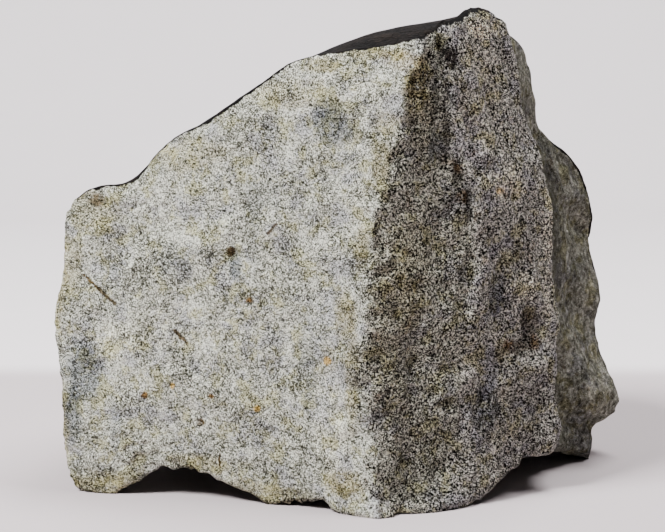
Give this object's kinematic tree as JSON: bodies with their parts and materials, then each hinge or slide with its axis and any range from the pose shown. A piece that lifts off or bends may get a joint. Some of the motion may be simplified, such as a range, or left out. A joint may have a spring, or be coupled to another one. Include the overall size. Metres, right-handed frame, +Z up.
{
  "type": "ll chondrite meteorite",
  "caption": "Broken stony meteorite with flat fresh fracture faces in front, a dark rounded melted skin on top and behind, and a hollowed base that stands on small level feet.",
  "frame": {"origin": "middle of the bounding box at the level of the feet", "axes": "+X along the longest extent, towards the far lobe; +Z up; -Y faces the viewer of the broken front"},
  "size_m": [0.127, 0.0938, 0.1037],
  "materials": {
    "stone": "matt broken stone with a thin dark melted skin"
  },
  "bodies": {
    "root": {"meteorite": "stone"}
  },
  "joints": []
}
